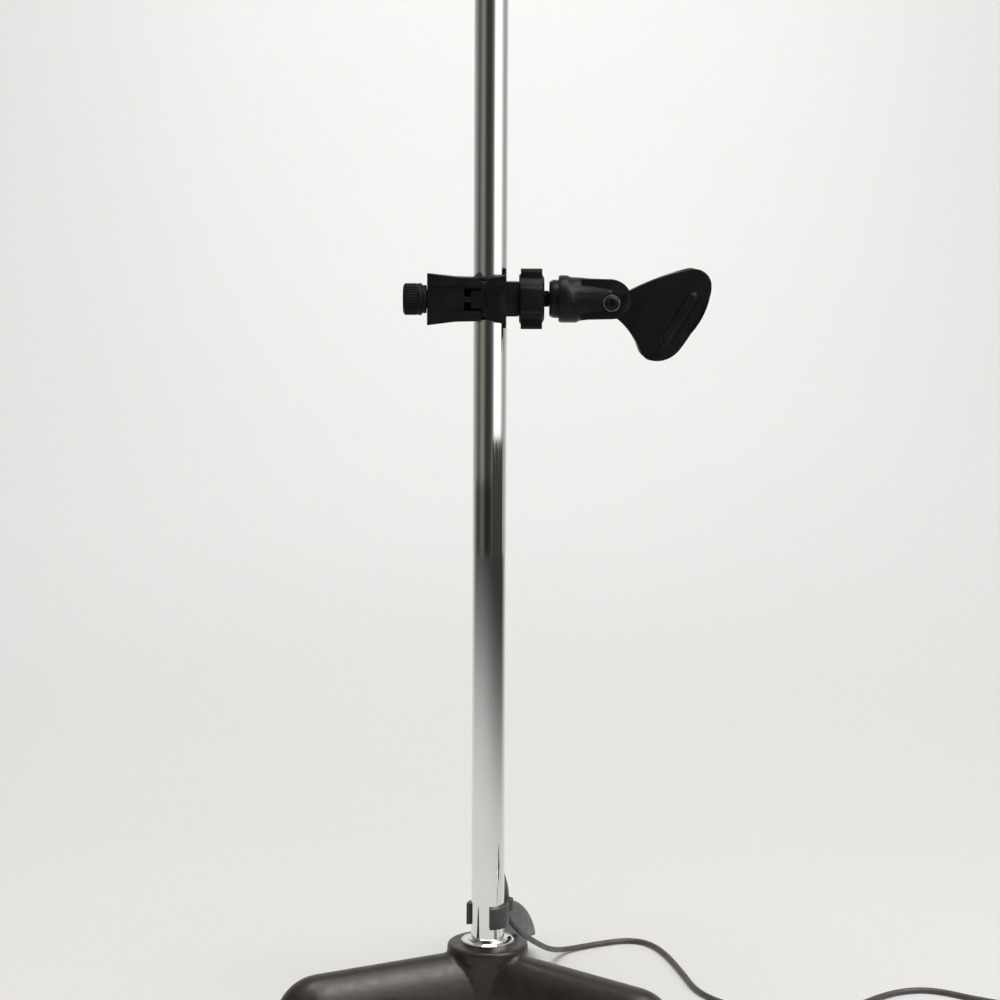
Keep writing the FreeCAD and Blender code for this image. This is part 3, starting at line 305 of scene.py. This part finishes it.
def revolved(name, profile, origin, axis, segments=128, relief=None, closed=False):
    """A mesh turned from (radius, along) pairs in mm; relief(angle, along) adds to the radius."""
    turn = Vector((0, 0, 1)).rotation_difference(Vector(axis)).to_matrix()
    shift = Vector(origin) * MM
    mesh = bmesh.new()
    rings = []
    for radius, along in profile:
        if radius <= 0:
            rings.append([mesh.verts.new(shift + turn @ Vector((0, 0, along * MM)))])
            continue
        ring = []
        for i in range(segments):
            angle = TURN * i / segments
            r = radius + (relief(angle, along) if relief else 0.0)
            local = Vector((r * math.cos(angle), r * math.sin(angle), along)) * MM
            ring.append(mesh.verts.new(shift + turn @ local))
        rings.append(ring)
    pairs = list(zip(rings, rings[1:]))
    if closed:
        pairs.append((rings[-1], rings[0]))
    for a, b in pairs:
        for i in range(segments):
            j = (i + 1) % segments
            corners = [a[i % len(a)], a[j % len(a)], b[j % len(b)], b[i % len(b)]]
            unique = list(dict.fromkeys(corners))
            mesh.faces.new(unique)
    bmesh.ops.recalc_face_normals(mesh, faces=mesh.faces)
    data = bpy.data.meshes.new(name)
    mesh.to_mesh(data)
    mesh.free()
    return smooth_shaded(data)


def thread_cut(angle, along, pitch, depth, start, end):
    """What a V thread between two places along a rod adds to its radius."""
    if along < start or along > end:
        return 0.0
    return -depth * abs(2 * ((along / pitch - angle / TURN) % 1.0) - 1)


def stepped(start, end, step):
    count = max(1, round((end - start) / step))
    return [start + (end - start) * i / count for i in range(count + 1)]


def rounded_edges(piece, width_mm, segments=2):
    bevel = piece.modifiers.new("rounding", "BEVEL")
    bevel.width = width_mm * MM
    bevel.segments = segments
    bevel.limit_method = "ANGLE"
    bevel.angle_limit = math.radians(28)
    bevel.harden_normals = True
    return piece


def merged_copy(node):
    """A CAD node's shape with its split corners joined and its flat faces made whole."""
    mesh = bmesh.new()
    mesh.from_mesh(NODES[node].data)
    bmesh.ops.remove_doubles(mesh, verts=mesh.verts, dist=2e-6)
    bmesh.ops.dissolve_limit(mesh, angle_limit=math.radians(1.0), verts=mesh.verts, edges=mesh.edges)
    return mesh


def softened(name, node, width_mm, move=None, segments=2):
    """A CAD node's shape with rounded edges, as if moulded; move(point) may shift a corner, in mm."""
    mesh = merged_copy(node)
    if move:
        for corner in mesh.verts:
            corner.co = move(corner.co / MM) * MM
    data = bpy.data.meshes.new(name)
    mesh.to_mesh(data)
    mesh.free()
    return rounded_edges(add_piece(name, smooth_shaded(data), [node]), width_mm, segments)


def melted(name, node, voxel_mm, passes, shape=None):
    """A CAD node remeshed evenly and relaxed, so that inner corners become fillets; shape(point) is in mm."""
    draft = bpy.data.objects.new("draft", NODES[node].data.copy())
    bpy.context.scene.collection.objects.link(draft)
    remesh = draft.modifiers.new("even", "REMESH")
    remesh.mode = "VOXEL"
    remesh.voxel_size = voxel_mm * MM
    relax = draft.modifiers.new("relax", "SMOOTH")
    relax.factor = 0.5
    relax.iterations = passes
    depsgraph = bpy.context.evaluated_depsgraph_get()
    data = bpy.data.meshes.new_from_object(draft.evaluated_get(depsgraph))
    data.name = name
    bpy.data.objects.remove(draft)
    if shape:
        for corner in data.vertices:
            corner.co = shape(corner.co / MM) * MM
    return add_piece(name, smooth_shaded(data), [node])


# ---------------------------------------------------------------- cable

# The cable's middle line from its strain relief to the coil, in mm.
LEAD = [
    (2.97, 16.84, 115.61),
    (3.75, 21.3, 107.8),
    (6.2, 21.9, 98.5),
    (9.8, 18.2, 90.2),
    (12.445, 12.445, 81.5),
    (12.445, 12.445, 63.5),
    (18.0, 22.0, 54.5),
    (24.0, 37.0, 43.5),
    (32.3, 60.0, 31.0),
    (42.5, 92.0, 15.5),
    (52.5, 127.0, 3.4),
    (67.0, 139.0, 2.0),
    (84.0, 148.5, 2.0),
    (100.0, 155.0, 2.0),
    (113.0, 153.0, 2.0),
    (122.0, 142.0, 2.0),
    (128.5, 124.0, 2.0),
    (134.0, 101.0, 2.0),
    (139.5, 72.0, 2.0),
    (143.5, 48.0, 2.0),
    (152.0, 29.0, 2.0),
    (166.0, 13.0, 2.0),
    (187.0, 0.0, 2.0),
    (211.0, -6.0, 2.0),
    (235.0, 1.0, 2.0),
    (252.0, 14.0, 2.0),
    (267.0, 30.0, 2.0),
    (284.0, 43.0, 2.0),
    (302.0, 48.0, 2.0),
    (318.0, 42.0, 2.0),
    (332.0, 31.0, 2.0),
    (348.0, 22.0, 2.0),
    (364.0, 11.0, 2.0),
    (374.0, -8.0, 2.0),
    (376.0, -27.0, 2.0),
]
TAIL = [
    (351.0, -95.5, 2.2),
    (339.0, -95.0, 2.6),
    (328.0, -93.5, 4.4),
    (317.0, -92.2, 8.0),
    (306.0, -92.0, 9.5),
    (300.0, -92.0, 9.5),
]
COIL_MIDDLE = (352.0, -62.0)
# Where each turn of the coil lies: its radius and its height. Four layers, wound in and out in turn.
COIL_TURNS = [
    (30, 2),
    (26, 2),
    (22, 2),
    (18, 2),
    (18, 6),
    (22, 6),
    (26, 6),
    (26, 10),
    (22, 10),
    (18, 10),
    (18, 14),
    (22, 14),
    (26, 14),
    (30, 10),
    (30, 6),
]
# The end of the last turn steps out and down onto the floor between these two directions, in degrees.
COIL_FOOT = (33.5, 2)
STEP_START = -30.0
OUTWARD_LEAD = 1.6
# The share of each turn that keeps its own radius and height.
LEVEL_SHARE = 0.72
POINTS_A_TURN = 16
COIL_START = 32.0
COIL_END = -78.0


def coil_points():
    """Control points of the wound turns, clockwise from above; a turn steps to the next near its end."""
    whole = len(COIL_TURNS)
    part = (COIL_START - COIL_END) / 360.0
    step = whole + (COIL_START - STEP_START) / 360.0
    count = round((whole + part) * POINTS_A_TURN)
    turns_and_foot = [*COIL_TURNS, COIL_TURNS[-1], COIL_FOOT]
    points = []
    for i in range(count + 1):
        turns = i / POINTS_A_TURN
        now = int(turns)
        blend = min(1.0, max(0.0, (turns - now - LEVEL_SHARE) / (1 - LEVEL_SHARE)))
        if now == 0:
            blend = turns
        out = blend
        if now == whole:
            blend = min(1.0, max(0.0, (turns - step) / (whole + part - step)))
            out = min(1.0, OUTWARD_LEAD * blend)
        radius = turns_and_foot[now][0] * (1 - out) + turns_and_foot[now + 1][0] * out
        height = turns_and_foot[now][1] * (1 - blend) + turns_and_foot[now + 1][1] * blend
        angle = math.radians(COIL_START) - turns * TURN
        reach = radius / math.cos(math.pi / POINTS_A_TURN)
        x = COIL_MIDDLE[0] + reach * math.cos(angle)
        y = COIL_MIDDLE[1] + reach * math.sin(angle)
        points.append((x, y, height))
    return points


def make_cable():
    points = LEAD + coil_points() + TAIL
    data = bpy.data.curves.new("cable", "CURVE")
    data.dimensions = "3D"
    data.bevel_depth = 2.0 * MM
    data.bevel_resolution = 4
    data.resolution_u = 6
    data.use_fill_caps = True
    spline = data.splines.new("NURBS")
    spline.points.add(len(points) - 1)
    for point, place in zip(spline.points, points):
        point.co = (*(c * MM for c in place), 1.0)
    spline.order_u = 3
    spline.use_endpoint_u = True
    return add_piece("cable", data, ["cable_lead", "cable_coil", "cable_tail"])


GROMMET_PLACE = (1.9275, 10.9314, 126.0)
GROMMET_WAY = (0.08682, 0.49240, -0.86603)


def make_grommet():
    """A strain relief through the column's wall: a collar, then a tapered nose with four ribs."""
    profile = [(2.05, -4.0), (4.1, -4.0), (4.2, -3.6), (4.2, 2.9)]
    profile += [(5.2, 2.9), (5.5, 3.2), (5.5, 4.6), (5.1, 5.1)]
    for i in range(4):
        along = 5.6 + i * 1.8
        size = 4.3 - i * 0.35
        profile += [(size - 0.6, along - 0.3), (size, along), (size, along + 0.8), (size - 0.7, along + 1.1)]
    profile += [(2.7, 12.9), (2.05, 13.0)]
    data = revolved("strain_relief", profile, GROMMET_PLACE, GROMMET_WAY, 48, closed=True)
    return add_piece("strain_relief", data, ["cable_grommet"])


BOOT_PLACE = (306.0, -92.0, 9.5)
BARREL_PLACE = (282.0, -92.0, 9.5)


def make_plug():
    """The plug's rubber boot with its ribs, and its barrel with grip grooves and a band."""
    boot = [(2.05, 0.0), (3.0, 0.0), (3.2, 0.4)]
    for i in range(6):
        along = 1.6 + i * 2.5
        size = 3.5 + i * 0.42
        boot += [(size - 0.5, along), (size, along + 0.3), (size, along + 1.3), (size - 0.5, along + 1.6)]
    boot += [(7.4, 20.6), (8.1, 22.0), (8.4, 23.9), (2.05, 24.0)]
    data = revolved("plug_boot_ribbed", boot, BOOT_PLACE, (-1, 0, 0), 64, closed=True)
    ribbed = add_piece("plug_boot_ribbed", data, ["plug_boot"])
    shell = [(6.0, 0.0), (8.3, 0.0), (8.6, 0.3), (9.3, 1.9), (9.5, 2.3)]
    for along in stepped(4.0, 12.0, 1.6):
        shell += [(9.5, along), (9.15, along + 0.3), (9.15, along + 0.7), (9.5, along + 1.0)]
    shell += [(9.5, 30.0), (9.2, 30.3), (9.2, 31.2), (9.5, 31.5)]
    shell += [(9.5, 45.6), (9.2, 46.0), (8.5, 46.0), (8.2, 45.7), (8.2, 14.0), (6.0, 14.0)]
    data = revolved("plug_barrel", shell, BARREL_PLACE, (-1, 0, 0), 96, closed=True)
    barrel = add_piece("plug_barrel", data, ["plug_shell"])
    return [ribbed, barrel, NODES["plug_insert"], NODES["plug_pins"]]


def declare_cable():
    cable = make_cable()
    relief = make_grommet()
    tie = softened("coil_strap", "coil_tie", 0.35)
    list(make_plug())


# ---------------------------------------------------------------- base and column


def make_base():
    melted("base_cast", "base_casting", 1.25, 5)


# The thread's start and end are measured up from the mast's shoulder, which is this far under its top.
MAST_THREAD = {"pitch": 0.94, "depth": 0.52, "start": 3.4, "end": 18.2}
MAST_RADIUS = 7.94
MAST_SHOULDER = 19.0


def make_mast_thread():
    """The mast's stud with its fine thread."""
    low, high = (axis_end.z / MM for axis_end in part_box("top_stud"))
    shoulder = high - MAST_SHOULDER

    def relief(angle, along):
        return thread_cut(angle, along - shoulder, **MAST_THREAD)

    profile = [(0, low), (7.7, low)]
    profile += [(MAST_RADIUS, along) for along in stepped(low + 0.3, high - 1.0, 0.16)]
    profile += [(7.2, high), (0, high)]
    data = revolved("mast_thread", profile, (0, 0, 0), (0, 0, 1), 72, relief)
    add_piece("mast_thread", data, ["top_stud"])


def make_column_parts():
    softened("cable_hook", "cable_clip", 0.45)
    softened("clutch_socket", "clutch_body", 0.5)
    softened("clutch_sleeve", "clutch_grip", 0.4)
    make_mast_thread()


# ---------------------------------------------------------------- side clamp

CLAMP_HEIGHT = 482.5
KNOB_PLACE = (-44.1, -19.0, CLAMP_HEIGHT)
KNOB_RIDGES = 34
RIDGE_HEIGHT = 0.62
RIDGE_FOOT = -0.17
STUD_THREAD = {"pitch": 1.59, "depth": 0.62, "start": 38.6, "end": 56.2}
STUD_RADIUS = 4.76
# The barrel's lip: where it ends along +X, its radius, and how far its inner edge is moved and slanted.
LIP_ZONE = (53.5, 57.0)
LIP_RADIUS = 15.6
LIP_SHIFT = 0.6
LIP_SLANT = 3.1


def make_knob():
    """A knob with round ridges along it, a plain band at its inner end and a flange against the jaw."""

    def ridge(angle, along):
        if along < 3.5 or along > 11.2:
            return 0.0
        return RIDGE_HEIGHT * abs(math.sin(angle * KNOB_RIDGES / 2)) + RIDGE_FOOT

    profile = [(0, -3.2), (5.6, -3.2), (5.8, -2.9), (8.9, -2.8), (9.2, -2.5), (9.2, -0.3), (9.0, 0)]
    profile += [(9.9, 0.1), (10.3, 0.4), (10.4, 0.8), (10.4, 2.6), (10.25, 2.85), (9.9, 3.1)]
    profile += [(9.9, along) for along in stepped(3.5, 11.1, 0.95)]
    profile += [(9.7, 11.5), (9.2, 12.0), (8.5, 12.3), (6.5, 12.3), (5.9, 12.0), (0, 11.95)]
    data = revolved("ridged_knob", profile, KNOB_PLACE, (-1, 0, 0), KNOB_RIDGES * 12, ridge)
    add_piece("ridged_knob", data, ["screw_knob"])


def make_stud():
    """The arm's stud: a flange inside the ring nut and a rolled thread."""
    start, end = STUD_THREAD["start"], STUD_THREAD["end"]

    def relief(angle, along):
        return thread_cut(angle, along, **STUD_THREAD)

    profile = [(0, 27.3), (10.6, 27.3), (10.8, 27.5), (10.8, 29.8), (10.5, 30.0), (5.3, 30.0), (5.3, 38.4)]
    profile += [(STUD_RADIUS, along) for along in stepped(start, end, 0.2)]
    profile += [(3.96, 57.0), (0, 57.0)]
    data = revolved("threaded_stud", profile, (0, 0, CLAMP_HEIGHT), (1, 0, 0), 64, relief)
    add_piece("threaded_stud", data, ["arm_stud"])


def barrel_lip(point):
    """Slants the lip's inner edge, so that it is longer underneath than on top."""
    height = (point.z - CLAMP_HEIGHT) / LIP_RADIUS
    if LIP_ZONE[0] < point.x < LIP_ZONE[1]:
        return Vector((point.x - LIP_SHIFT - LIP_SLANT * height, point.y, point.z))
    return point


def make_clamp():
    softened("saddle_block", "saddle_jaw", 0.6)
    softened("hook_block", "hook_jaw", 0.6)
    softened("lobed_nut", "ring_nut", 1.3, segments=3)
    softened("split_sleeve", "clamp_sleeve", 0.3)
    softened("collar_ring", "insert_collar", 0.4)
    softened("arm_barrel", "clip_barrel", 0.5, barrel_lip)
    softened("pivot_screw", "pivot_bolt", 0.25)
    make_knob()
    make_stud()


# ---------------------------------------------------------------- microphone clip

PIVOT = Vector((79.5, 0.0, 480.1))
CLIP_TILT = math.radians(27.6)
CLIP_OUT = Vector((math.cos(CLIP_TILT), 0.0, -math.sin(CLIP_TILT)))
CLIP_UP = Vector((math.sin(CLIP_TILT), 0.0, math.cos(CLIP_TILT)))
RIB_ENDS = ((42.6, -4.0), (44.7, 28.3))
RIB_RADIUS = 3.0
RIB_HEIGHT = 2.0
GROOVE_DEPTH = 0.6
# The groove's width as a share of the rib's radius.
GROOVE_WIDTH = 0.5
# Corners further than this from the clip's middle plane are on the outside of a cheek.
CHEEK_OUTSIDE = 15.2


def rib_height(out, up):
    """How far the half-round rib stands out of the cheek at a place on it; negative in its groove."""
    (out0, up0), (out1, up1) = RIB_ENDS
    run = Vector((out1 - out0, up1 - up0))
    at = Vector((out - out0, up - up0))
    share = min(1.0, max(0.0, at.dot(run) / run.dot(run)))
    away = (at - run * share).length / RIB_RADIUS
    if away < 1:
        return RIB_HEIGHT * math.sqrt(1 - away * away)
    if away < 1 + GROOVE_WIDTH:
        return -GROOVE_DEPTH * math.sin(math.pi * (away - 1) / GROOVE_WIDTH)
    return 0.0


def cheek_shape(point):
    """Adds the long rib and its groove to the outside of both cheeks."""
    local = point - PIVOT
    out = local.dot(CLIP_OUT)
    up = local.dot(CLIP_UP)
    if abs(local.y) < CHEEK_OUTSIDE:
        return point
    side = math.copysign(1.0, local.y)
    return point + Vector((0, side * rib_height(out, up), 0))


def make_clip():
    melted("clip_cheeks", "clip_cup", 0.55, 7, cheek_shape)


# ---------------------------------------------------------------- floor, walls and light


def stage_mesh(name, corners, faces, material):
    data = bpy.data.meshes.new(name)
    data.from_pydata(corners, [], faces)
    data.materials.append(material)
    made = bpy.data.objects.new(name, smooth_shaded(data))
    bpy.context.scene.collection.objects.link(made)
    return made


def strip_mesh(name, rows, material, closed=False):
    """Faces between rows of points of equal length."""
    corners = [tuple(point) for row in rows for point in row]
    across = len(rows[0])
    faces = []
    for j in range(len(rows) - 1):
        for i in range(across if closed else across - 1):
            k = (i + 1) % across
            faces.append((j * across + i, j * across + k, (j + 1) * across + k, (j + 1) * across + i))
    return stage_mesh(name, corners, faces, material)


FLOOR_REACH = 6.0
FLOOR_BACK = 1.9
COVE_RADIUS = 1.3
COVE_STEPS = 12


def make_backdrop():
    """A pale floor that curves up into a wall behind the stand."""
    paper = Finish("backdrop", (0.80, 0.795, 0.785), 1.0)
    paper.shader.inputs["Specular IOR Level"].default_value = 0.0
    paper.vary_colour(paper.noise(600.0, 2.0), (0.795, 0.79, 0.78), (0.805, 0.80, 0.79))
    path = [(-FLOOR_REACH, 0.0), (-2.0, 0.0), (FLOOR_BACK, 0.0)]
    for i in range(1, COVE_STEPS + 1):
        angle = math.radians(90.0 * i / COVE_STEPS)
        path.append((FLOOR_BACK + COVE_RADIUS * math.sin(angle), COVE_RADIUS * (1 - math.cos(angle))))
    path += [(FLOOR_BACK + COVE_RADIUS, 3.2), (FLOOR_BACK + COVE_RADIUS, 6.0)]
    rows = [[(x, y, z) for x in (-FLOOR_REACH, FLOOR_REACH)] for y, z in path]
    strip_mesh("backdrop", rows, paper.material)


# What the glossy surfaces see around the stand: brightness against direction, in degrees from the front
# towards +X.
PANELS = [
    (-180, 0.85),
    (-158, 0.75),
    (-140, 0.58),
    (-112, 0.3),
    (-80, 0.085),
    (-63, 0.21),
    (-46, 0.26),
    (-32, 0.08),
    (-20, 0.04),
    (-5, 0.045),
    (10, 0.08),
    (22, 0.3),
    (31, 1.35),
    (76, 1.35),
    (88, 0.7),
    (108, 0.36),
    (140, 0.62),
    (160, 0.75),
    (180, 0.85),
]


def only_in_reflections(made):
    made.visible_camera = False
    made.visible_diffuse = False
    made.visible_transmission = False
    made.visible_volume_scatter = False
    made.visible_shadow = False


def emitter(name):
    material = bpy.data.materials.new(name)
    material.use_nodes = True
    tree = material.node_tree
    tree.nodes.clear()
    out = tree.nodes.new("ShaderNodeOutputMaterial")
    light = tree.nodes.new("ShaderNodeEmission")
    tree.links.new(light.outputs["Emission"], out.inputs["Surface"])
    level = tree.nodes.new("ShaderNodeVertexColor")
    level.layer_name = "level"
    tree.links.new(level.outputs["Color"], light.inputs["Color"])
    return material


def set_levels(made, level_at):
    """Stores how bright each point of a reflector is."""
    data = made.data
    layer = data.color_attributes.new("level", "FLOAT_COLOR", "POINT")
    for i, corner in enumerate(data.vertices):
        layer.data[i].color = (*level_at(corner.co), 1.0)


def panel_level(degrees):
    for (a, low), (b, high) in zip(PANELS, PANELS[1:]):
        if a <= degrees <= b:
            return low + (high - low) * (degrees - a) / (b - a)
    return PANELS[0][1]


def direction_of(point):
    return math.degrees(math.atan2(point.x, -point.y))


def warm(level, tint=0.02):
    """A slightly warm grey of a given brightness."""
    return (level, level * (1 - tint * 0.15), level * (1 - tint))


WALL_RADIUS = 2.2
# The right-hand panel is dark below the first height. The panels to its left are dimmer below the second.
PANEL_FOOT = 0.19
DIM_FOOT = 0.12
RIGHT_PANEL = (18, 100)
LEFT_PANELS = (-110, 18)
WARM_PANEL = (-72, -28)


def wall_level(point):
    degrees = direction_of(point)
    level = panel_level(degrees)
    if RIGHT_PANEL[0] < degrees < RIGHT_PANEL[1] and point.z < PANEL_FOOT:
        level = 0.05
    if LEFT_PANELS[0] < degrees < LEFT_PANELS[1] and point.z < DIM_FOOT:
        level *= 0.5
    return warm(level, 0.15 if WARM_PANEL[0] < degrees < WARM_PANEL[1] else 0.02)


FLOOR_LEVEL = 0.79
DARK_FLOOR_LEVEL = 0.045
# How much nearer the reflected floor falls away on the right than in front, in metres.
RIGHT_FALL = 0.24
FALL_POWER = 3.4
GROUND_RINGS = (0.02, 0.1, 0.2, 0.3, 0.4, 0.5, 0.6, 0.7, 0.8, 0.9, 1.0, 1.1, 1.25, 1.4, 1.6, 1.8, 2.0, 2.2)


def floor_level(point):
    """The reflected floor is bright by the stand and falls away further out, sooner on the right."""
    degrees = direction_of(point)
    reach = math.hypot(point.x, point.y)
    edge = 1.0 - RIGHT_FALL * math.sin(math.radians(degrees))
    fall = 1 / (1 + (reach / edge) ** FALL_POWER)
    behind = max(0.0, (abs(degrees) - 100) / 80)
    level = FLOOR_LEVEL * (fall + (1 - fall) * min(1.0, behind * 1.6))
    return warm(max(DARK_FLOOR_LEVEL, level))


SOFTBOX_PLACE = Vector((1.0, -0.65, 1.73))
SOFTBOX_SIZE = 0.95
SOFTBOX_LEVEL = 11.0


def make_softbox(glow):
    """A bright panel high on the right, which gives the satin paint and the plastics their highlights."""
    across = Vector((-SOFTBOX_PLACE.y, SOFTBOX_PLACE.x, 0)).normalized() * SOFTBOX_SIZE / 2
    upward = SOFTBOX_PLACE.cross(across).normalized() * SOFTBOX_SIZE / 2
    rows = [[SOFTBOX_PLACE + a * across + b * upward for a in (-1, 1)] for b in (-1, 1)]
    panel = strip_mesh("softbox", rows, glow)
    set_levels(panel, lambda point: warm(SOFTBOX_LEVEL, 0.06))
    only_in_reflections(panel)


def make_reflectors():
    """A ring of panels round the stand, a floor inside it and a softbox, all seen only in reflections."""
    glow = emitter("studio_glow")
    steps = 144
    around = [TURN * i / steps for i in range(steps)]
    rows = []
    for height in (0.0, 0.11, 0.13, PANEL_FOOT - 0.004, PANEL_FOOT + 0.004, 0.6, 1.2, 1.9):
        rows.append([(WALL_RADIUS * math.sin(a), -WALL_RADIUS * math.cos(a), height) for a in around])
    wall = strip_mesh("room_panels", rows, glow, closed=True)
    rows = []
    for reach in GROUND_RINGS:
        rows.append([(reach * math.sin(a), -reach * math.cos(a), 0.0004) for a in around])
    ground = strip_mesh("room_ground", rows, glow, closed=True)
    set_levels(wall, wall_level)
    set_levels(ground, floor_level)
    only_in_reflections(wall)
    only_in_reflections(ground)
    make_softbox(glow)


def area_light(name, place, target, width, depth, power, colour=(1, 1, 1)):
    data = bpy.data.lights.new(name, "AREA")
    data.shape = "RECTANGLE"
    data.size = width
    data.size_y = depth
    data.energy = power
    data.color = colour
    lamp = bpy.data.objects.new(name, data)
    bpy.context.scene.collection.objects.link(lamp)
    lamp.location = place
    lamp.rotation_euler = (Vector(target) - Vector(place)).to_track_quat("-Z", "Y").to_euler()
    return lamp


def make_light():
    world = bpy.data.worlds.new("room")
    world.use_nodes = True
    sky = world.node_tree.nodes["Background"]
    sky.inputs["Color"].default_value = (1.0, 0.995, 0.985, 1.0)
    sky.inputs["Strength"].default_value = 0.52
    bpy.context.scene.world = world
    area_light("overhead", (0.1, -0.1, 2.4), (0.0, 0.1, 0.0), 1.4, 1.2, 27.0, (1.0, 0.99, 0.97))
    area_light("side", (1.7, -1.1, 1.3), (0.0, 0.0, 0.3), 1.2, 1.4, 9.0)
    area_light("backdrop_wash", (0.05, 1.7, 2.3), (0.05, 3.2, 1.5), 0.7, 0.5, 23.0)


# ---------------------------------------------------------------- the whole scene


make_camera()
declare_cable()
paint_nodes()
make_base()
make_column_parts()
make_clamp()
make_clip()
make_backdrop()
make_reflectors()
make_light()
bpy.context.scene.view_settings.view_transform = "Standard"
